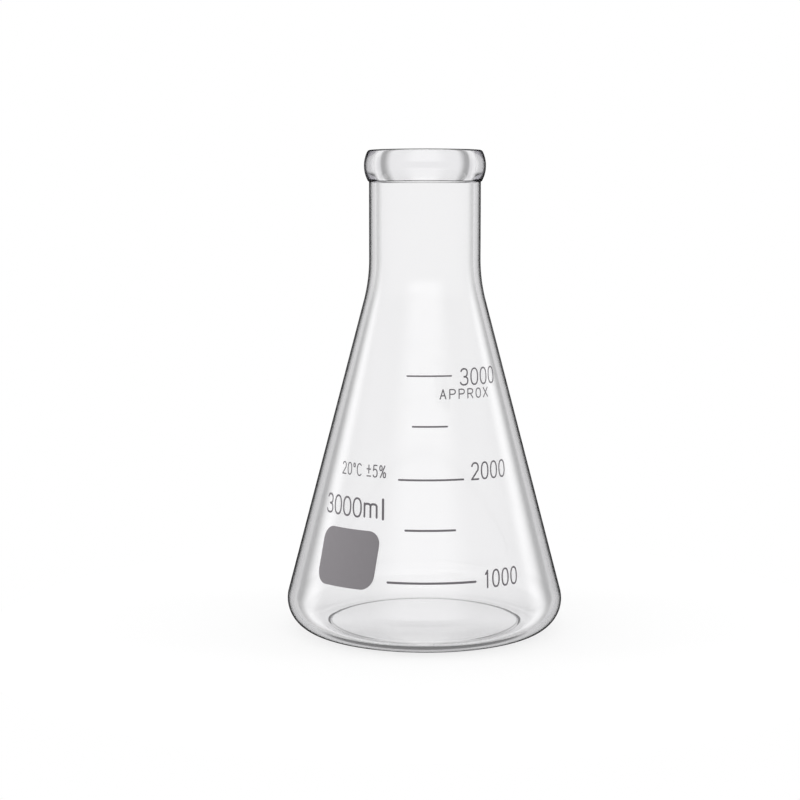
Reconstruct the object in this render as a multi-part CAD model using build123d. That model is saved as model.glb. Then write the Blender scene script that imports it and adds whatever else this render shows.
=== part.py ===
from build123d import *
from math import asin, atan2, cos, degrees, hypot, radians, sin, sqrt, tan
import os

# A conical laboratory flask for three litres, blown in one piece from borosilicate glass.
# All lengths are in millimetres. +Z is up, and the origin is the middle of the ring that it stands on.
# The glass has one closed section, drawn in the XZ plane and turned about Z.

# Outside of the body
overall_height = 320.0
body_diameter = 185.0
heel_radius = 20.5
shoulder_height = 234.5  # where the cone's slope would meet the neck, if no curve joined them
shoulder_radius = 110.0

# Neck and rim
neck_diameter = 74.0
rim_diameter = 80.6
rim_height = 20.5
rim_step = 0.6  # the rim stands this much proud of the neck at its lower edge

# Glass
wall_thickness = 2.8  # neck and shoulder
heel_thickness = 3.6  # the wall thickens evenly down the cone
base_thickness = 4.0  # at the middle of the base

# Base
push_up = 3.0  # rise of the underside at its middle
foot_width = 6.0  # flat ring that touches the bench
foot_edge_radius = 2.5  # inner edge of that ring
step_angle = 30.0  # steepest slope of the step inside the ring
step_radius = 6.0  # where the step turns into the dome

# Radii that follow
body_radius = body_diameter / 2
neck_radius = neck_diameter / 2
rim_radius = rim_diameter / 2
bore_radius = neck_radius - wall_thickness
heel_centre = body_radius - heel_radius
foot_inner_radius = heel_centre - foot_width
inner_heel_radius = heel_radius - heel_thickness
inner_shoulder_radius = shoulder_radius + wall_thickness
floor_top = push_up + base_thickness

rim_base = overall_height - rim_height
rim_middle = overall_height - rim_height / 2


def side(neck, heel, shoulder):
    """
    Slope of the cone from upright, in radians, and the point where the shoulder's arc leaves it.

    The cone runs tangent to the heel's circle and through the corner on the neck at shoulder_height. The
    shoulder's arc leaves the cone and reaches the neck at the same distance from that corner.
    """
    run = heel_centre - neck
    rise = shoulder_height - heel_radius
    slope = atan2(run, rise) + asin(heel / hypot(run, rise))
    tangent = shoulder * tan(slope / 2)
    return slope, (neck + tangent * sin(slope), shoulder_height - tangent * cos(slope))


def floor_dome():
    """
    Radius and angle of the arc that leaves the axis level at floor_top and meets the inner heel tangent.

    Two circles that touch from outside are as far apart as their radii added, which gives the radius.
    """
    rise = heel_radius - floor_top
    radius = (heel_centre**2 + rise**2 - inner_heel_radius**2) / (2 * (inner_heel_radius - rise))
    return radius, degrees(asin(heel_centre / (radius + inner_heel_radius)))


def under_dome():
    """
    Radius and angle of the underside's arc, from the axis at height push_up to the step's arc.

    The step's circle touches the dome's from inside, so they are as far apart as their radii subtracted.
    """
    reach = foot_edge_radius + step_radius
    run = foot_inner_radius - reach * sin(radians(step_angle))
    rise = foot_edge_radius - reach * cos(radians(step_angle)) - push_up
    radius = (step_radius**2 - run**2 - rise**2) / (2 * (rise + step_radius))
    return radius, degrees(asin(run / (radius - step_radius)))


def lip_circle(centre, radius):
    """
    Radius of the arc that rounds the mouth from the bore to the rim's own arc, given as centre and radius.

    It touches the bore's wall, the height of the mouth and, from inside, the rim's arc.
    """
    inward = bore_radius - centre[0]
    upward = overall_height - centre[1]
    spread = inward - upward + radius
    return sqrt(spread**2 - inward**2 - upward**2 + radius**2) - spread


def rim_profile(neck):
    """The rim's outline from the end of the neck's line, over step, bulge and lip, to the top of the bore."""
    step = Line(neck @ 1, (neck_radius + rim_step, rim_base))
    bulge = rim_radius - (step @ 1).X
    bulge_radius = ((rim_height / 2) ** 2 + bulge**2) / (2 * bulge)
    centre = (rim_radius - bulge_radius, rim_middle)
    lip = lip_circle(centre, bulge_radius)
    start_angle = asin(rim_height / 2 / bulge_radius)
    lip_angle = atan2(overall_height - lip - centre[1], bore_radius + lip - centre[0])
    start_way = (sin(start_angle), cos(start_angle))
    rim = JernArc(step @ 1, start_way, bulge_radius, degrees(start_angle + lip_angle))
    return JernArc(rim @ 1, rim % 1, lip, 180 - degrees(lip_angle))


def flask_section():
    """The closed section of the glass, right of the axis: x is the radius and y the height."""
    outer_slope, shoulder_start = side(neck_radius, heel_radius, shoulder_radius)
    inner_slope, inner_shoulder_start = side(bore_radius, inner_heel_radius, inner_shoulder_radius)
    outer_slope, inner_slope = degrees(outer_slope), degrees(inner_slope)
    under_radius, under_angle = under_dome()
    floor_radius, floor_angle = floor_dome()
    with BuildSketch() as section:
        with BuildLine():
            underside = JernArc((0, push_up), (1, 0), under_radius, -under_angle)
            step = JernArc(underside @ 1, underside % 1, step_radius, under_angle - step_angle)
            foot_edge = JernArc(step @ 1, step % 1, foot_edge_radius, step_angle)
            foot = Line(foot_edge @ 1, (heel_centre, 0))
            heel = JernArc(foot @ 1, (1, 0), heel_radius, 90 + outer_slope)
            cone = Line(heel @ 1, shoulder_start)
            shoulder = JernArc(cone @ 1, cone % 1, shoulder_radius, -outer_slope)
            neck = Line(shoulder @ 1, (neck_radius, rim_base))
            lip = rim_profile(neck)
            floor = JernArc((0, floor_top), (1, 0), floor_radius, -floor_angle)
            inner_heel = JernArc(floor @ 1, floor % 1, inner_heel_radius, floor_angle + 90 + inner_slope)
            inner_cone = Line(inner_heel @ 1, inner_shoulder_start)
            inner_shoulder = JernArc(inner_cone @ 1, inner_cone % 1, inner_shoulder_radius, -inner_slope)
            Line(inner_shoulder @ 1, lip @ 1)
            Line(floor @ 0, underside @ 0)
        make_face()
    return section.sketch


def flask():
    """The section, turned once about the axis."""
    return revolve(Plane.XZ * flask_section(), axis=Axis.Z)


glass = flask()
print(f"glass: {glass.volume / 1000:.0f} cubic centimetres")

os.makedirs("parts", exist_ok=True)
export_step(glass, "parts/flask.step")
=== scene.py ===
# %% [markdown]
# # A three litre conical flask
#
# The flask is blown from one piece of borosilicate glass: a cone that runs into a straight neck, a thick
# rim, a rounded heel and a base that is pushed up in the middle. A scale, a few numbers and a writing spot
# are printed on it in grey enamel and fired. The CAD part holds the solid glass. This script gives it a
# smooth surface, real glass, the print, and a bright studio.

import bpy
import numpy as np
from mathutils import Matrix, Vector


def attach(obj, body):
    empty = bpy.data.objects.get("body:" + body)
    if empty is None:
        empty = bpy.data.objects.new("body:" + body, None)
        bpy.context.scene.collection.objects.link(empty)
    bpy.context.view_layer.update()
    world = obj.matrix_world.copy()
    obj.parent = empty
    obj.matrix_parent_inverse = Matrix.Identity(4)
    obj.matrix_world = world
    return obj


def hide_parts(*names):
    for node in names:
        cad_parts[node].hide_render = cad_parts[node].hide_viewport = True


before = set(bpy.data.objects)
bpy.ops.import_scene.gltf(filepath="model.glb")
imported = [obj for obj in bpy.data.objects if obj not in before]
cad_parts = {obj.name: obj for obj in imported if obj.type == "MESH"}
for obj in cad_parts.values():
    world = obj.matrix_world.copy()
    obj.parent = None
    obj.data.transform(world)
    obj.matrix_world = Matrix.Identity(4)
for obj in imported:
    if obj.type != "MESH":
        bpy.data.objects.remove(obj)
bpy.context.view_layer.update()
BODY = "root"
print("CAD nodes:", sorted(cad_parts))

# %% [markdown]
# ## Sizes
#
# The sizes are those of the solid, in millimetres, as a glass blower's drawing would give them. Every
# length in the scene is worked out from them, so the looks can't drift away from the part. The two small
# roundings under the rim exist only here: on the solid these edges are sharp, but glass that has been
# melted has none, and a sharp one would mirror like a knife.

# %% Sizes of the glass
MM = 0.001
OVERALL_HEIGHT = 320.0
BODY_RADIUS = 185.0 / 2
HEEL_RADIUS = 20.5
SHOULDER_HEIGHT = 234.5  # where the cone's slope would meet the neck, if no curve joined them
SHOULDER_RADIUS = 110.0
NECK_RADIUS = 74.0 / 2
RIM_RADIUS = 80.6 / 2
RIM_HEIGHT = 20.5
WALL = 2.8
HEEL_WALL = 3.6
BASE = 4.0  # at its middle
PUSH_UP = 3.0  # rise of the underside at its middle
FOOT_WIDTH = 6.0
FOOT_EDGE_RADIUS = 2.5
STEP_RADIUS = 6.0
STEP_SLOPE = np.radians(30.0)
RIM_STEP = 0.6  # the rim stands this much proud of the neck at its lower edge
RIM_STEP_ROUND = 0.3
CREASE_ROUND = 0.35
HEEL_CENTRE = BODY_RADIUS - HEEL_RADIUS
BORE_RADIUS = NECK_RADIUS - WALL


def cone_angle(neck_radius, heel_radius):
    """The slope of a line that touches the heel's circle and passes the shoulder's corner, from upright."""
    run, rise = HEEL_CENTRE - neck_radius, SHOULDER_HEIGHT - HEEL_RADIUS
    return np.arctan2(run, rise) + np.arcsin(heel_radius / np.hypot(run, rise))


OUTER_SLOPE = cone_angle(NECK_RADIUS, HEEL_RADIUS)
INNER_SLOPE = cone_angle(BORE_RADIUS, HEEL_RADIUS - HEEL_WALL)
print(f"cone {np.degrees(OUTER_SLOPE):.2f} degrees outside, {np.degrees(INNER_SLOPE):.2f} inside")


# %% [markdown]
# ## The camera
#
# The camera comes first, because it decides which parts need the most care. It stands where the drawn
# proportions put it: a little above the middle of the neck, so that the mouth's edge arches up and the base
# shows as a low ellipse.

# %% Camera
FRAME_PIXELS = 800
FOCAL_PIXELS = 1783.4
AXIS_PIXEL = 424.9
CAMERA_DISTANCE = 1188.1
CAMERA_HEIGHT = 287.8
PITCH_DOWN = np.radians(6.426)
SENSOR = 36.0


def make_camera():
    """A camera on the -Y side. A small turn about Z puts the flask's axis at AXIS_PIXEL."""
    data = bpy.data.cameras.new("studio_camera")
    data.sensor_width = SENSOR
    data.lens = FOCAL_PIXELS / FRAME_PIXELS * SENSOR
    camera = bpy.data.objects.new("studio_camera", data)
    bpy.context.scene.collection.objects.link(camera)
    camera.location = (0.0, -CAMERA_DISTANCE * MM, CAMERA_HEIGHT * MM)
    yaw = np.arctan((AXIS_PIXEL - FRAME_PIXELS / 2) / FOCAL_PIXELS * np.cos(PITCH_DOWN))
    camera.rotation_euler = (np.pi / 2 - PITCH_DOWN, 0.0, yaw)
    bpy.context.scene.camera = camera
    return camera


camera = make_camera()
print(f"camera: {camera.data.lens:.1f} mm lens, {CAMERA_DISTANCE:.0f} mm away")


# %% [markdown]
# ## Making surfaces from arrays
#
# Every piece here is a skin wrapped round something: the glass is its section carried round the axis, and a
# printed line is a flat cross-section carried along a stroke. So one function makes them all. It takes a
# grid of points, closes it round one way, and either closes the other way too or draws each end to a point.

# %% One mesh maker
def wrapped_faces(rows, columns, ends_meet):
    """Quads between neighbours on a grid. Its columns wrap, and so do its rows if the ends meet."""
    row, column = np.meshgrid(np.arange(rows if ends_meet else rows - 1), np.arange(columns), indexing="ij")
    below, right = (row + 1) % rows, (column + 1) % columns
    here, there = row * columns, below * columns
    corners = [here + column, here + right, there + right, there + column]
    return np.stack(corners, axis=-1).reshape(-1, 4)


def skin(points, ends_meet=False):
    """Vertices and faces of one closed skin. Where the ends don't meet, the first and last rows are poles."""
    rows, columns = points.shape[:2]
    if ends_meet:
        return points.reshape(-1, 3), wrapped_faces(rows, columns, True), np.empty((0, 3), int)
    inner = points[1:-1].reshape(-1, 3)
    vertices = np.vstack([inner, points[0, :1], points[-1, :1]])
    quads = wrapped_faces(rows - 2, columns, False)
    near = np.arange(columns)
    far = near + (rows - 3) * columns
    first, last = np.full(columns, len(inner)), np.full(columns, len(inner) + 1)
    fans = np.vstack([
        np.stack([first, np.roll(near, -1), near], axis=-1),
        np.stack([last, far, np.roll(far, -1)], axis=-1),
    ])
    return vertices, quads, fans


def triangle_count(mesh):
    """A face with n corners is n - 2 triangles."""
    return len(mesh.loops) - 2 * len(mesh.polygons)


def volume(mesh):
    """Sum of a . (b x c) / 6 over the triangles. It is above nothing only where the faces look outwards."""
    mesh.calc_loop_triangles()
    corners = np.empty(len(mesh.loop_triangles) * 3, int)
    mesh.loop_triangles.foreach_get("vertices", corners)
    points = np.empty(len(mesh.vertices) * 3)
    mesh.vertices.foreach_get("co", points)
    a, b, c = (points.reshape(-1, 3) / MM)[corners].reshape(-1, 3, 3).transpose(1, 0, 2)
    return (a * np.cross(b, c)).sum() / 6


def make_piece(name, skins, material):
    """One object from several skins, smooth, facing outwards, riding on the part's one body."""
    vertices, quads, fans, base = [], [], [], 0
    for points, four, three in skins:
        vertices.append(points)
        quads.append(four + base)
        fans.append(three + base)
        base += len(points)
    mesh = bpy.data.meshes.new(name)
    faces = np.vstack(quads).tolist() + np.vstack(fans).tolist()
    mesh.from_pydata(np.vstack(vertices).tolist(), [], faces)
    mesh.polygons.foreach_set("use_smooth", np.ones(len(mesh.polygons), bool))
    mesh.materials.append(material)
    mesh.update()
    piece = bpy.data.objects.new(name, mesh)
    bpy.context.scene.collection.objects.link(piece)
    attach(piece, BODY)
    size = f"{len(mesh.vertices)} points, {triangle_count(mesh)} triangles, {volume(mesh):.1f} cubic mm"
    print(f"{name}: {size}")
    return piece


print("a ring of 3 rows and 4 columns has", len(wrapped_faces(3, 4, True)), "faces")


# %% [markdown]
# ## Materials
#
# A material is a small graph of nodes. One helper adds a node with its settings and links, so that each
# material below reads as a list of what it is made of.

# %% Node and colour helpers
WHITE = "#FFFFFF"


def linear(hex_colour):
    """An sRGB colour such as "#8A878A" as the linear values that the shader works in."""
    channels = np.array([int(hex_colour[i:i + 2], 16) for i in (1, 3, 5)]) / 255
    low = channels <= 0.04045
    return (*np.where(low, channels / 12.92, ((channels + 0.055) / 1.055) ** 2.4), 1.0)


def add(tree, kind, inputs=None, **settings):
    """A node of one kind in the tree. Inputs are values, or sockets of other nodes to link from."""
    node = tree.nodes.new(kind)
    for key, value in settings.items():
        setattr(node, key, value)
    for key, value in (inputs or {}).items():
        if isinstance(value, bpy.types.NodeSocket):
            tree.links.new(value, node.inputs[key])
        else:
            node.inputs[key].default_value = value
    return node


def calculated(tree, operation, *values):
    """The result of one step of arithmetic on numbers or sockets."""
    return add(tree, "ShaderNodeMath", dict(enumerate(values)), operation=operation).outputs[0]


def new_material(name):
    """An empty material: (material, its node tree, its output node)."""
    material = bpy.data.materials.new(name)
    material.use_nodes = True
    tree = material.node_tree
    tree.nodes.clear()
    return material, tree, add(tree, "ShaderNodeOutputMaterial")


print(f"sRGB #808080 is {linear('#808080')[0]:.3f} in linear light")

# %% [markdown]
# ### Borosilicate glass
#
# Clear borosilicate glass, blown and fire-polished, bends light a little less than window glass (1.473). In
# bulk it has a faint grey cast, which shows where the eye looks along the wall. Blown walls aren't flat to
# a hair: their surface wanders by a hundredth over some centimetres, which makes reflections swim.
#
# The drawing has a dark outline of even width. A glass photographer gets one from black cards beside the
# set, and its width changes with the curve of the wall. Here the outline is painted shade: the glass's colour
# is darkened where the eye grazes the surface. At a distance d inside the outline of a ring of radius r, the
# cosine between eye and surface is about sqrt(2 d / r). So the cosine times sqrt(r / body radius) is the
# same for the same d on every ring. Each point carries that root as the scale of its painted outline, and
# the line's two widths in millimetres give the ramp's two stops.

# %% Glass material
GLASS_IOR = 1.473
WAVE_MM = 45.0
WAVE_HEIGHT_MM = 0.01
GLASS_TINT = "#E2E1E5"
TINT_PER_METRE = 45.0
# The painted dark outline: its width inside the outline in mm, and how much of the glass's colour is left
# there.
PAINTED_OUTLINE = ((1.1, 0.03), (2.58, 1.0))  # distance from the outline in mm, and the light that passes there


def glass_material():
    """Clear and fire-polished: mirror-smooth with a faint ripple, grey in its depth, with a painted dark
    outline.
    """
    material, tree, output = new_material("borosilicate_glass")
    place = add(tree, "ShaderNodeTexCoord").outputs["Object"]
    wave = add(tree, "ShaderNodeTexNoise", {"Vector": place, "Scale": 1 / (WAVE_MM * MM), "Detail": 1.0})
    ripple = add(tree, "ShaderNodeBump", {
        "Height": wave.outputs["Fac"], "Distance": WAVE_HEIGHT_MM * MM, "Strength": 1.0,
    })
    # Painted shade: the base colour turns dark where the eye grazes the surface, which draws the outline.
    grazing = add(tree, "ShaderNodeLayerWeight", {"Blend": 0.5}).outputs["Facing"]
    cosine = calculated(tree, "SUBTRACT", 1.0, grazing)
    outline_shade_scale = add(tree, "ShaderNodeAttribute", attribute_name="outline_shade_scale").outputs["Fac"]
    outline_shade = add(tree, "ShaderNodeValToRGB", {"Fac": calculated(tree, "MULTIPLY", cosine, outline_shade_scale)})
    for stop, (inside_mm, level) in zip(outline_shade.color_ramp.elements, PAINTED_OUTLINE):
        stop.position, stop.color = np.sqrt(2 * inside_mm / BODY_RADIUS), (level, level, level, 1.0)
    glass = add(tree, "ShaderNodeBsdfPrincipled", {
        "Base Color": outline_shade.outputs["Color"],
        "Roughness": 0.0,
        "IOR": GLASS_IOR,
        "Transmission Weight": 1.0,
        "Normal": ripple.outputs["Normal"],
    })
    tint = add(tree, "ShaderNodeVolumeAbsorption", {"Color": linear(GLASS_TINT), "Density": TINT_PER_METRE})
    tree.links.new(glass.outputs["BSDF"], output.inputs["Surface"])
    tree.links.new(tint.outputs["Volume"], output.inputs["Volume"])
    return material


borosilicate = glass_material()
print(f"glass: index {GLASS_IOR}, outline dark for {PAINTED_OUTLINE[0][0]} mm")


# %% [markdown]
# ## The glass
#
# On the real flask a blower's tools leave no edges apart from the foot of the rim. So the section is drawn
# from arcs that leave each line in the line's own direction, and it is carried once round the axis. A
# subdivided cage would bulge between its points, and glass shows each bulge. Straight stretches have their
# points closer together at both ends, so that the smooth shading of an arc doesn't run out along the wall.
#
# The painted dark outline belongs on the outer wall. Small roundings get a scale of their own for the painted
# line, and the inner wall and the underside one so large that no painted line shows.

# %% Section of the glass
ROUND_STEPS = 256
# Scales of the painted dark outline: the first is so large that no line is painted, the others paint dark
# lines at the lip, under the rim and at the foot's edge.
NO_PAINTED_OUTLINE = 8.0
LIP_PAINTED_OUTLINE = 0.3
STEP_PAINTED_OUTLINE = 0.2
FOOT_PAINTED_OUTLINE = 0.35


def arc(centre, radius, start, end, steps):
    """Points on a circle: centre plus radius times the cosine and sine of an angle from start to end."""
    angle = np.linspace(start, end, steps + 1)[1:]
    return np.stack([centre[0] + radius * np.cos(angle), centre[1] + radius * np.sin(angle)], axis=-1)


def straight(start, end, steps):
    """Points from start, which is left out, to end. The share of the way is (1 - cos t) / 2, with even t."""
    share = (1 - np.cos(np.linspace(0, np.pi, steps + 1)[1:, None])) / 2
    return np.array(start) * (1 - share) + np.array(end) * share


def dome(top, ring_height, ring_radius, ring_arc_radius):
    """Radius and angle of the arc that leaves the axis level at top and meets the ring's own arc tangent."""
    rise = ring_height - top
    radius = (ring_radius**2 + rise**2 - ring_arc_radius**2) / (2 * (ring_arc_radius - rise))
    return radius, np.arcsin(ring_radius / (radius + ring_arc_radius))


def side(neck_radius, heel_radius, shoulder_radius, slope, heel_start):
    """Heel, cone and shoulder of the outer or the inner wall, from the bottom of the heel to the neck."""
    heel = arc((HEEL_CENTRE, HEEL_RADIUS), heel_radius, heel_start, slope, 48)
    tangent = shoulder_radius * np.tan(slope / 2)
    centre = (neck_radius + shoulder_radius, SHOULDER_HEIGHT + tangent)
    shoulder = arc(centre, shoulder_radius, np.pi + slope, np.pi, 20)
    cone = straight(heel[-1], shoulder[0], 20)[:-1]
    return np.vstack([heel, cone, shoulder])


def glass_section():
    """
    The section's parts in order, from the middle of the underside over the mouth to the middle of the floor.

    Each comes with its scale for the painted dark outline, or with None where that follows from the radius.
    Domes and lip touch their neighbours: two circles that touch are as far apart as their radii added, or
    subtracted where one holds the other. The last number of an arc or a straight is its number of steps.
    """
    foot_inner = HEEL_CENTRE - FOOT_WIDTH
    edge_turn = np.array([foot_inner, FOOT_EDGE_RADIUS])
    step = edge_turn - (FOOT_EDGE_RADIUS + STEP_RADIUS) * np.array([np.sin(STEP_SLOPE), np.cos(STEP_SLOPE)])
    sink = step[1] - PUSH_UP
    under_radius = (STEP_RADIUS**2 - step[0] ** 2 - sink**2) / (2 * (sink + STEP_RADIUS))
    under_angle = np.arcsin(step[0] / (under_radius - STEP_RADIUS))
    inner_heel = HEEL_RADIUS - HEEL_WALL
    floor_top = PUSH_UP + BASE
    floor_radius, floor_angle = dome(floor_top, HEEL_RADIUS, HEEL_CENTRE, inner_heel)

    underside = arc((0, PUSH_UP - under_radius), under_radius, np.pi / 2, np.pi / 2 - under_angle, 24)
    step_side = arc(step, STEP_RADIUS, np.pi / 2 - under_angle, np.pi / 2 - STEP_SLOPE, 14)
    foot_edge = arc(edge_turn, FOOT_EDGE_RADIUS, 1.5 * np.pi - STEP_SLOPE, 1.5 * np.pi, 10)
    foot = straight((foot_inner, 0), (HEEL_CENTRE, 0), 4)
    outside = side(NECK_RADIUS, HEEL_RADIUS, SHOULDER_RADIUS, OUTER_SLOPE, -np.pi / 2)
    rim_base = OVERALL_HEIGHT - RIM_HEIGHT
    neck = straight(outside[-1], (NECK_RADIUS, rim_base - CREASE_ROUND), 10)
    crease = arc((NECK_RADIUS + CREASE_ROUND, rim_base - CREASE_ROUND), CREASE_ROUND, np.pi, np.pi / 2, 6)

    bulge = RIM_RADIUS - NECK_RADIUS - RIM_STEP
    rim_arc = ((RIM_HEIGHT / 2) ** 2 + bulge**2) / (2 * bulge)
    rim_centre = np.array([RIM_RADIUS - rim_arc, OVERALL_HEIGHT - RIM_HEIGHT / 2])
    ledge_height = rim_base + RIM_STEP_ROUND
    reach = np.sqrt((rim_arc - RIM_STEP_ROUND) ** 2 - (ledge_height - rim_centre[1]) ** 2)
    ledge_turn = np.array([rim_centre[0] + reach, ledge_height])
    ledge_angle = np.arctan2(*(ledge_turn - rim_centre)[::-1])
    ledge = straight(crease[-1], (ledge_turn[0], rim_base), 2)
    ledge_edge = arc(ledge_turn, RIM_STEP_ROUND, -np.pi / 2, ledge_angle, 6)
    inward, upward = BORE_RADIUS - rim_centre[0], RIM_HEIGHT / 2
    spread = inward - upward + rim_arc
    lip_radius = np.sqrt(spread**2 - inward**2 - upward**2 + rim_arc**2) - spread
    lip = np.array([BORE_RADIUS + lip_radius, OVERALL_HEIGHT - lip_radius])
    lip_angle = np.arctan2(*(lip - rim_centre)[::-1])
    rim = arc(rim_centre, rim_arc, ledge_angle, lip_angle, 40)
    mouth = arc(lip, lip_radius, lip_angle, np.pi, 24)

    heel_start = -np.pi / 2 - floor_angle
    inside = side(BORE_RADIUS, inner_heel, SHOULDER_RADIUS + WALL, INNER_SLOPE, heel_start)[::-1]
    bore = straight(mouth[-1], inside[0], 10)[:-1]
    floor = arc((0, floor_top - floor_radius), floor_radius, np.pi / 2 - floor_angle, np.pi / 2, 24)
    start = np.array([[0, PUSH_UP]])
    return [
        (start, NO_PAINTED_OUTLINE), (underside, NO_PAINTED_OUTLINE), (step_side, NO_PAINTED_OUTLINE), (foot_edge, FOOT_PAINTED_OUTLINE),
        (foot, None), (outside, None), (neck, None),
        (crease, STEP_PAINTED_OUTLINE), (ledge, STEP_PAINTED_OUTLINE), (ledge_edge, STEP_PAINTED_OUTLINE), (rim, None), (mouth, LIP_PAINTED_OUTLINE),
        (bore, NO_PAINTED_OUTLINE), (inside, NO_PAINTED_OUTLINE), (floor, NO_PAINTED_OUTLINE),
    ]


parts = glass_section()
section = np.vstack([rows for rows, _ in parts]) * MM
outline_shade_scale = np.concatenate([
    np.sqrt(rows[:, 0] / BODY_RADIUS) if outline_shade is None else np.full(len(rows), outline_shade) for rows, outline_shade in parts
])
width, height = section.max(axis=0) / MM * (2, 1)
print(f"section: {len(section)} points, {width:.1f} mm wide, {height:.1f} mm high")

# %% [markdown]
# ### Turned glass
#
# The section is now turned about Z. With 256 steps a ring of the body is a polygon that leaves the circle
# by 0.007 mm, which is a hundredth of a pixel in the picture. The two points on the axis become poles.

# %% Turned glass
def turn(profile, steps):
    """Each point (r, z) of the profile at steps angles t round the axis: (r cos t, r sin t, z)."""
    angle = np.linspace(0, 2 * np.pi, steps, endpoint=False)
    radius, height = profile[:, :1], profile[:, 1:]
    return np.stack([radius * np.cos(angle), radius * np.sin(angle), height + 0 * angle], axis=-1)


flask_glass = make_piece("flask_glass", [skin(turn(section, ROUND_STEPS))], borosilicate)
# Each point carries the scale of its painted dark outline.
carried = flask_glass.data.attributes.new("outline_shade_scale", "FLOAT", "POINT")
carried.data.foreach_set("value", np.concatenate([outline_shade_scale[1:-1].repeat(ROUND_STEPS), outline_shade_scale[[0, -1]]]))
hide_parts("flask")


# %% [markdown]
# ## The print
#
# The scale is printed on the outside of the cone with a grey ceramic enamel and fired, so it lies a few
# hundredths of a millimetre thick on the glass. A flat decal would float or sink on a cone. So every mark
# is drawn first on flat paper, in millimetres, and the paper is then wrapped. A height on paper is a height
# on the flask, and a step to the side is the same step round the cone at that height.

# %% Paper to cone
PRINT_LOW = 0.01  # the enamel's back and its face, from the glass
PRINT_HIGH = 0.05


def wrap(across, height, lift, turned=0.0):
    """
    Points on the cone, in metres, for marks in millimetres.

    The radius grows by tan(slope) for each millimetre below the shoulder's corner. The angle from the front
    is turned plus across divided by that radius. The lift goes along the cone's normal.
    """
    radius = NECK_RADIUS + (SHOULDER_HEIGHT - height) * np.tan(OUTER_SLOPE)
    angle = turned + across / radius
    out = radius + lift * np.cos(OUTER_SLOPE)
    up = height + lift * np.sin(OUTER_SLOPE)
    return np.stack([out * np.sin(angle), -out * np.cos(angle), up], axis=-1) * MM


print("10 mm to the right and 100 mm up on paper is at", wrap(10.0, 100.0, 0.0).round(4))

# %% [markdown]
# ### Strokes
#
# A stroke of the print is a ribbon that follows its path like a pen line. Its width is the same all along
# and closes in a half circle at each end. A numeral is a few such strokes, bows and straight runs, in a box
# one unit wide and one unit high, so one drawing serves every size.

# %% Strokes
CAP_STEPS = 6
FULLNESS = 0.85
BOW_POINTS = 8  # the fewest in a bow
BOW_DEGREES = 8  # one point more for each so many degrees
RIBBON = np.array([  # across as a share of the half width, and height as a share of the enamel's
    [1, 0.0], [0.97, 0.7], [0.8, 1.0], [-0.8, 1.0], [-0.97, 0.7], [-1, 0.0],
])


def ribbon(path, width):
    """
    A closed skin along a path of (across, height) points.

    Each row is a point of the path plus its sideways direction times a share of the half width. At a round
    end the share follows a quarter circle.
    """
    closed = np.allclose(path[0], path[-1])
    if closed:
        path = path[:-1]
        along = np.roll(path, -1, axis=0) - np.roll(path, 1, axis=0)
    else:
        along = np.gradient(path, axis=0)
    along /= np.linalg.norm(along, axis=1, keepdims=True)
    half = np.full(len(path), width / 2)
    if not closed:
        angle = np.linspace(0, np.pi / 2, CAP_STEPS, endpoint=False)
        back = np.cos(angle)[:, None] * width / 2
        path = np.vstack([path[0] - along[0] * back, path, path[-1] + along[-1] * back[::-1]])
        along = np.vstack([along[:1].repeat(CAP_STEPS, 0), along, along[-1:].repeat(CAP_STEPS, 0)])
        cap = np.sin(angle) * width / 2
        half = np.concatenate([cap, half, cap[::-1]])
    sideways = np.stack([-along[:, 1], along[:, 0]], axis=-1)
    place = path[:, None] + sideways[:, None] * (half[:, None] * RIBBON[:, 0])[..., None]
    lift = PRINT_LOW + (PRINT_HIGH - PRINT_LOW) * RIBBON[:, 1]
    return skin(wrap(place[..., 0], place[..., 1], lift), ends_meet=closed)


def bow(centre, size, start, end):
    """
    An arc of an oval, with its angles in degrees from the right.

    It is centre plus size times the cosine and sine, each to the power FULLNESS, which squares the oval a
    bit.
    """
    points = BOW_POINTS + int(abs(end - start) / BOW_DEGREES)
    angle = np.radians(np.linspace(start, end, points))
    direction = np.stack([np.cos(angle), np.sin(angle)], axis=-1)
    return np.array(centre) + np.sign(direction) * np.abs(direction) ** FULLNESS * size


def run(start, end, steps=6):
    """A straight stroke with a few points on the way, so that it can bend round the cone."""
    return np.vstack([[start], straight(start, end, steps)])


print(f"ribbon: {len(RIBBON)} points across, {CAP_STEPS} rows in a round end")


# %% [markdown]
# ### Numerals and letters
#
# The print is a narrow engraver's alphabet, with tall oval noughts and one line width. Only the glyphs that
# the flask needs are drawn here. A font would bring outlines with hundreds of points, and wide strokes.

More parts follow.
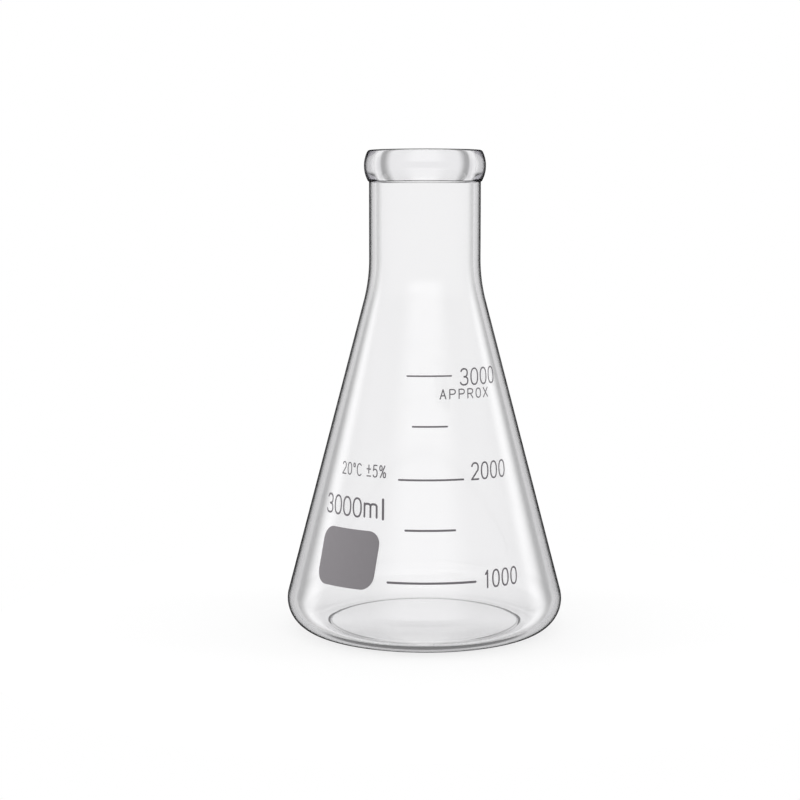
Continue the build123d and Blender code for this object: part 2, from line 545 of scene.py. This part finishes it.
# %% Alphabet
OVAL = bow((0.5, 0.5), (0.5, 0.5), 90, 450)
BOWL = np.vstack([
    run((0, 1), (0.5, 1)), bow((0.5, 0.74), (0.5, 0.26), 90, -90)[1:], run((0.5, 0.48), (0, 0.48))[1:],
])
ARCH = np.vstack([bow((0.25, 0.56), (0.25, 0.16), 180, 0), run((0.5, 0.56), (0.5, 0))[1:]])
SPINE = run((0, 0), (0, 1))
GLYPHS = {
    "0": [OVAL],
    "O": [OVAL],
    "1": [run((0.25, 0.8), (0.6, 1.0)), run((0.6, 1.0), (0.6, 0.0))],
    "2": [np.vstack([bow((0.5, 0.72), (0.46, 0.28), 165, -35), [[0.02, 0.0]]]), run((0.02, 0.0), (1.0, 0.0))],
    "3": [bow((0.47, 0.75), (0.43, 0.25), 160, -90), bow((0.47, 0.25), (0.5, 0.25), 90, -160)],
    "5": [
        run((0.9, 1.0), (0.18, 1.0)), run((0.18, 1.0), (0.08, 0.55)),
        bow((0.44, 0.33), (0.5, 0.33), 138, -150),
    ],
    "A": [run((0, 0), (0.5, 1)), run((0.5, 1), (1, 0)), run((0.18, 0.34), (0.82, 0.34))],
    "C": [bow((0.55, 0.5), (0.55, 0.5), 48, 312)],
    "P": [SPINE, BOWL],
    "R": [SPINE, BOWL, run((0.5, 0.48), (1, 0))],
    "X": [run((0, 0), (1, 1)), run((0, 1), (1, 0))],
    "m": [run((0, 0), (0, 0.72)), ARCH, ARCH + (0.5, 0)],
    "l": [run((0.5, 0), (0.5, 1.08))],
    "°": [bow((0.5, 0.84), (0.5, 0.16), 90, 450)],
    "±": [run((0.05, 0.64), (0.95, 0.64)), run((0.5, 0.3), (0.5, 0.98)), run((0.05, 0.04), (0.95, 0.04))],
    "%": [
        bow((0.2, 0.79), (0.2, 0.21), 90, 450), bow((0.8, 0.21), (0.2, 0.21), 90, 450),
        run((0.12, 0), (0.88, 1)),
    ],
}
SHARES = {"m": 1.7, "l": 0.3, "°": 0.5, "%": 1.25, "1": 0.8}


def lettering(text, left, right, bottom, height, stroke, gap):
    """
    Skins of a line of text that fills the space from left to right, with its feet at bottom.

    A glyph is as wide as its share of the space, and between two glyphs there is a gap, in shares too.
    """
    shares = np.array([SHARES.get(glyph, 1.0) for glyph in text])
    unit = (right - left) / (shares.sum() + gap * (len(text) - 1))
    starts = left + unit * (np.cumsum(shares) - shares + gap * np.arange(len(text)))
    skins = []
    for glyph, start, share in zip(text, starts, shares):
        box = np.array([unit * share - stroke, height - stroke])
        corner = (start + stroke / 2, bottom + stroke / 2)
        skins += [ribbon(path * box + corner, stroke) for path in GLYPHS[glyph]]
    return skins


print("glyphs:", " ".join(GLYPHS))

# %% [markdown]
# ### Enamel
#
# The enamel is glass powder with a grey pigment, printed through a screen and fired. The fine lines melt to
# a low sheen. The writing spot keeps a tooth of fine grain, so that a pencil leaves a mark on it, and to
# the eye it is a flat grey without a reflection. The real grains measure some hundredths of a millimetre,
# which no pixel shows, so they are drawn about ten times as coarse.

# %% Enamel materials
ENAMEL_IOR = 1.5
GRAIN_RANGE = (0.3, 0.7)  # the noise hardly leaves it


def enamel(name, dark, light, grain_mm, tooth_mm, roughness):
    """Fired enamel: its grey wanders between two values in grains, and the grains stand up by a tooth."""
    material, tree, output = new_material(name)
    place = add(tree, "ShaderNodeTexCoord").outputs["Object"]
    grains = {"Vector": place, "Scale": 1 / (grain_mm * MM), "Detail": 3.0}
    grain = add(tree, "ShaderNodeTexNoise", grains).outputs["Fac"]
    grey = add(tree, "ShaderNodeValToRGB", {"Fac": grain})
    for stop, position, colour in zip(grey.color_ramp.elements, GRAIN_RANGE, (dark, light)):
        stop.position, stop.color = position, linear(colour)
    tooth = add(tree, "ShaderNodeBump", {"Height": grain, "Distance": tooth_mm * MM, "Strength": 1.0})
    fired = add(tree, "ShaderNodeBsdfPrincipled", {
        "Base Color": grey.outputs["Color"],
        "Roughness": roughness,
        "IOR": ENAMEL_IOR,
        "Normal": tooth.outputs["Normal"],
    })
    tree.links.new(fired.outputs["BSDF"], output.inputs["Surface"])
    return material


line_enamel = enamel("fired_line_enamel", "#5A575B", "#646165", 0.5, 0.004, 0.45)
spot_enamel = enamel("matt_spot_enamel", "#716E71", "#7A777A", 0.3, 0.02, 0.85)
print("enamels:", line_enamel.name, spot_enamel.name)

# %% [markdown]
# ### Scale lines
#
# The lines stand for 1000, 1500, 2000, 2500 and 3000 ml. The thousands have the long lines, and the steps
# between them the short ones. Each line is level, so it follows a ring of the cone. A line is given by its
# height, its first and last angle from the front in degrees, and its width in millimetres.

# %% Scale lines
LINES = {
    3000: (175.2, -12.3, 19.0, 1.0),
    2500: (143.6, -7.1, 13.8, 1.1),
    2000: (110.5, -13.5, 20.8, 1.2),
    1500: (79.5, -8.9, 14.5, 1.3),
    1000: (47.4, -15.6, 22.1, 1.4),
}


def scale_line(height, first, last, width):
    """A ribbon at one height from the first to the last angle from the front, in degrees."""
    radius = NECK_RADIUS + (SHOULDER_HEIGHT - height) * np.tan(OUTER_SLOPE)
    ends = np.radians([first, last]) * radius
    return ribbon(run((ends[0], height), (ends[1], height), 24), width)


make_piece("scale_lines", [scale_line(*line) for line in LINES.values()], line_enamel)

# %% [markdown]
# ### Numbers
#
# Each number stands on the right of its line. The capacity stands large on the left, with the temperature
# and the tolerance of the scale above it. A text is given by its left and right end and its bottom on
# paper, its height, the width of its strokes, and the gap between its glyphs as a share of a glyph.

# %% Numbers
NUMBERS = [
    ("3000", 23.4, 53.4, 168.7, 11.1, 1.05, 0.2),
    ("2000", 30.6, 58.8, 109.5, 11.2, 1.1, 0.2),
    ("1000", 39.0, 65.6, 42.8, 11.2, 1.15, 0.22),
]
LABELS = [
    ("APPROX", 9.6, 46.0, 160.5, 6.5, 0.8, 0.4),
    ("3000", -75.2, -42.2, 85.3, 12.5, 1.25, 0.14),
    ("m", -40.9, -30.6, 85.8, 12.5, 1.4, 0.0),
    ("l", -28.6, -25.2, 85.0, 12.7, 1.6, 0.0),
    ("20°C", -60.8, -43.0, 111.0, 8.0, 0.8, 0.25),
    ("±5%", -39.4, -25.0, 111.0, 8.0, 0.8, 0.25),
]
for name, texts in (("scale_numbers", NUMBERS), ("labels", LABELS)):
    skins = [part for text in texts for part in lettering(*text)]
    make_piece(name, skins, line_enamel)

# %% [markdown]
# ### Writing spot
#
# The spot is a square with round corners, 46 mm wide. It is made of rings, each one the outline drawn a bit
# smaller, because a flat sheet with few points would cut through the cone.

# %% Writing spot
SPOT_ANGLE = np.radians(-37.4)
SPOT_MIDDLE = 59.7
SPOT_SIZE = (23.15, 18.2)  # half its width and half its height
SPOT_CORNER = 8.8
SPOT_RINGS = 14
SPOT_EDGE = np.array([[0.9995, 0.6], [0.997, 1.0]])  # share of the outline, and of the enamel's height there


def rounded_square(half_width, half_height, corner, steps=12):
    """The outline, against the clock from the lower right: four quarter circles joined by straight runs."""
    outline = []
    for quarter, (right, up) in enumerate(((1, -1), (1, 1), (-1, 1), (-1, -1))):
        centre = (right * (half_width - corner), up * (half_height - corner))
        start = (quarter - 1) * np.pi / 2
        first = arc(centre, corner, start, start, 1)
        curve = np.vstack([first, arc(centre, corner, start, start + np.pi / 2, steps)])
        outline += [straight(outline[-1][-1], curve[0], steps)[:-1], curve] if outline else [curve]
    outline.append(straight(outline[-1][-1], outline[0][0], steps)[:-1])
    return np.vstack(outline)


def spot_skin():
    """Rings from the middle of the back out to the edge and in again to the middle of the front."""
    outline = rounded_square(*SPOT_SIZE, SPOT_CORNER)
    out = np.linspace(0, 1, SPOT_RINGS)
    share = np.concatenate([out, SPOT_EDGE[:, 0], out[::-1][1:]])
    rise = np.concatenate([0 * out, SPOT_EDGE[:, 1], 1 + 0 * out[1:]])
    lift = (PRINT_LOW + (PRINT_HIGH - PRINT_LOW) * rise)[:, None]
    place = share[:, None, None] * outline
    return skin(wrap(place[..., 0], SPOT_MIDDLE + place[..., 1], lift, SPOT_ANGLE))


make_piece("writing_spot", [spot_skin()], spot_enamel)


# %% [markdown]
# ## The studio
#
# Clear glass has hardly a colour of its own: it shows what it bends and mirrors. Glassware is shot against
# a bright field with dark cards beside it. Then the middle of the flask stays pale, and the walls draw
# themselves in grey.
#
# The world here is three studios in one, and the kind of ray picks one. The camera itself sees white. A ray
# that comes through the glass sees a white window every 45 degrees with grey cards between. So a wall that
# bends it by more than some 6 degrees turns grey, from whichever side the flask is seen. A ray that is
# mirrored sees a dark room with a tall box on each side, and a broad one in front that hangs above and
# below eye level.
#
# A ray through polished glass counts as mirrored too. So the test for light through the glass comes last.

# %% World
WINDOWS = 8
WINDOW_STOPS = (  # degrees off the nearest window, and the light there
    (0.0, 1.0), (6.4, 1.0), (11.0, 0.42), (12.6, 0.42), (15.5, 0.85), (22.5, 0.9),
)
CEILING = (14.5, 24.0, 0.15)  # degrees above the horizon where the light fades, and what is left
GROUND = (36.0, 46.0, 0.25)  # the same below it
INNER_MIRROR = 0.8  # light for a ray that was mirrored inside the wall, whose way says little
DARK_ROOM = 0.03
SIDE_BOX = (70.0, 1.0, 18.0, 2.6)  # azimuth, half its core, half its whole width, and light
FRONT_BOX = (130.0, 165.0, 2.0)  # azimuths where it starts and is full, and light
FRONT_BOX_TILT = (7.0, 16.0)  # degrees off the horizon where it starts and is full


def window_ramp(tree, azimuth):
    """Light through glass by direction: the angle to the nearest window, a / step - round(a / step)."""
    share = calculated(tree, "MULTIPLY", azimuth, WINDOWS / (2 * np.pi))
    nearest = calculated(tree, "ROUND", share)
    aside = calculated(tree, "ABSOLUTE", calculated(tree, "SUBTRACT", share, nearest))
    window = add(tree, "ShaderNodeValToRGB", {"Fac": calculated(tree, "MULTIPLY", aside, 2.0)})
    window.color_ramp.interpolation = "EASE"
    for _ in WINDOW_STOPS[2:]:
        window.color_ramp.elements.new(1.0)
    for stop, (angle, level) in zip(window.color_ramp.elements, WINDOW_STOPS):
        stop.position, stop.color = angle / (180 / WINDOWS), (level, level, level, 1.0)
    return window.outputs["Color"]


def fade(tree, value, first, last, before, after):
    """A smooth change from one level to another while the value runs from first to last."""
    return add(tree, "ShaderNodeMapRange", {
        "Value": value, "From Min": first, "From Max": last, "To Min": before, "To Max": after,
    }, interpolation_type="SMOOTHSTEP").outputs[0]


def make_world():
    """
    White for the camera, windows and cards for light through the glass, dark with boxes for mirrored light.

    The azimuth is the angle of a ray from +Y. Its height is the sine of its angle above the horizon.
    """
    world = bpy.data.worlds.new("bright_field")
    bpy.context.scene.world = world
    world.use_nodes = True
    tree = world.node_tree
    tree.nodes.clear()
    path = add(tree, "ShaderNodeLightPath")
    way = add(tree, "ShaderNodeTexCoord").outputs["Generated"]
    axes = add(tree, "ShaderNodeSeparateXYZ", {"Vector": way})
    azimuth = calculated(tree, "ARCTAN2", axes.outputs["X"], axes.outputs["Y"])
    aside = calculated(tree, "ABSOLUTE", azimuth)
    height = axes.outputs["Z"]
    tilt = calculated(tree, "ABSOLUTE", height)

    window = add(tree, "ShaderNodeMix", {
        0: calculated(tree, "MINIMUM", path.outputs["Glossy Depth"], 1.0),
        6: window_ramp(tree, azimuth),
        7: (INNER_MIRROR, INNER_MIRROR, INNER_MIRROR, 1.0),
    }, data_type="RGBA")
    (high, higher, ceiling), (low, lower, ground) = CEILING, GROUND
    above = fade(tree, height, np.sin(np.radians(high)), np.sin(np.radians(higher)), 1.0, ceiling)
    below = fade(tree, height, -np.sin(np.radians(lower)), -np.sin(np.radians(low)), ground, 1.0)
    ends = calculated(tree, "MULTIPLY", above, below)

    box_azimuth, box_core, box_edge, box_level = SIDE_BOX
    beside = calculated(tree, "ABSOLUTE", calculated(tree, "SUBTRACT", aside, np.radians(box_azimuth)))
    side_box = fade(tree, beside, np.radians(box_core), np.radians(box_edge), box_level, DARK_ROOM)
    front = fade(tree, aside, np.radians(FRONT_BOX[0]), np.radians(FRONT_BOX[1]), 0.0, FRONT_BOX[2])
    off_level = fade(tree, tilt, *np.sin(np.radians(FRONT_BOX_TILT)), 0.0, 1.0)
    boxes = calculated(tree, "MULTIPLY_ADD", front, off_level, side_box)

    light = add(tree, "ShaderNodeBackground", {"Color": linear(WHITE), "Strength": 1.0}).outputs[0]
    for kind_of_ray, colour, strength in (
        ("Is Glossy Ray", linear(WHITE), boxes),
        ("Is Transmission Ray", window.outputs[2], ends),
    ):
        studio = add(tree, "ShaderNodeBackground", {"Color": colour, "Strength": strength})
        picked = {0: path.outputs[kind_of_ray], 1: light, 2: studio.outputs[0]}
        light = add(tree, "ShaderNodeMixShader", picked).outputs[0]
    add(tree, "ShaderNodeOutputWorld", {"Surface": light})
    return world


make_world()
print(f"world: a window every {360 / WINDOWS:.0f} degrees")

# %% [markdown]
# ### Floor
#
# The floor is there for the eye and for the shadow. Most of its white is its own glow, and the rest is
# light that it receives, so the flask's soft shadow stays on it. Rays through and off the glass pass it and
# meet the lower half of the world, as they would on a glass table. On a white floor the heel's dark outline
# would be lost.

# %% Floor
FLOOR_RADIUS = 0.3
FLOOR_STEPS = 96
GLOW = 0.8


def make_floor():
    """A disc of points (r cos t, r sin t, 0), white with a soft shadow, and open to rays from the glass."""
    material, tree, output = new_material("pale_floor")
    path = add(tree, "ShaderNodeLightPath")
    lit = add(tree, "ShaderNodeBsdfDiffuse", {"Color": linear("#F4F4F4")})
    glow = add(tree, "ShaderNodeEmission", {"Color": linear(WHITE), "Strength": 1.0})
    share = calculated(tree, "MULTIPLY", path.outputs["Is Camera Ray"], GLOW)
    seen = add(tree, "ShaderNodeMixShader", {0: share, 1: lit.outputs[0], 2: glow.outputs[0]})
    kinds = (path.outputs["Is Transmission Ray"], path.outputs["Is Glossy Ray"])
    from_glass = calculated(tree, "MAXIMUM", *kinds)
    clear = add(tree, "ShaderNodeBsdfTransparent")
    whole = add(tree, "ShaderNodeMixShader", {0: from_glass, 1: seen.outputs[0], 2: clear.outputs[0]})
    tree.links.new(whole.outputs[0], output.inputs["Surface"])
    angle = np.linspace(0, 2 * np.pi, FLOOR_STEPS, endpoint=False)
    rim = FLOOR_RADIUS * np.stack([np.cos(angle), np.sin(angle), 0 * angle], axis=-1)
    mesh = bpy.data.meshes.new("studio_floor")
    mesh.from_pydata(rim.tolist(), [], [list(range(len(rim)))])
    mesh.materials.append(material)
    floor = bpy.data.objects.new("studio_floor", mesh)
    bpy.context.scene.collection.objects.link(floor)
    return floor


make_floor()
print(f"floor: a disc of {2 * FLOOR_RADIUS:.1f} m")

# %% [markdown]
# ### Lamps
#
# Two tall lamps light the enamel and the floor from the sides. The glass doesn't see them, because the
# world has its boxes already, and a lamp would put a second, harder stripe beside each.

# %% Lamps
LAMP_PLACE = (1.2, -0.12, 0.3)
LAMP_SIZE = (0.5, 1.2)
LAMP_WATTS = 8.0
MIDDLE = (0.0, 0.0, 0.16)


def soft_box(name, place, aim, width, height, power):
    """A rectangular lamp at place, turned so that it faces aim."""
    data = bpy.data.lights.new(name, "AREA")
    data.shape = "RECTANGLE"
    data.size, data.size_y, data.energy = width, height, power
    lamp = bpy.data.objects.new(name, data)
    bpy.context.scene.collection.objects.link(lamp)
    lamp.location = place
    lamp.visible_glossy = False
    lamp.visible_transmission = False
    lamp.rotation_euler = (Vector(aim) - Vector(place)).to_track_quat("-Z", "Y").to_euler()
    return lamp


for name, hand in (("left_box", -1), ("right_box", 1)):
    soft_box(name, (hand * LAMP_PLACE[0], *LAMP_PLACE[1:]), MIDDLE, *LAMP_SIZE, LAMP_WATTS)
    print("lamp:", name)

# %% [markdown]
# ### Colour and light paths
#
# A line of sight through the flask crosses four glass surfaces, and near the edges it is mirrored inside
# the wall some more times. With the usual few bounces these rays would end black.

# %% Colour and light paths
view = bpy.context.scene.view_settings
view.view_transform = "Standard"
cycles = bpy.context.scene.cycles
cycles.max_bounces = 24
cycles.transmission_bounces = 24
cycles.glossy_bounces = 12
print(f"colour: {view.view_transform}, bounces: {cycles.max_bounces}")

# %% [markdown] The end


print("studio ready")
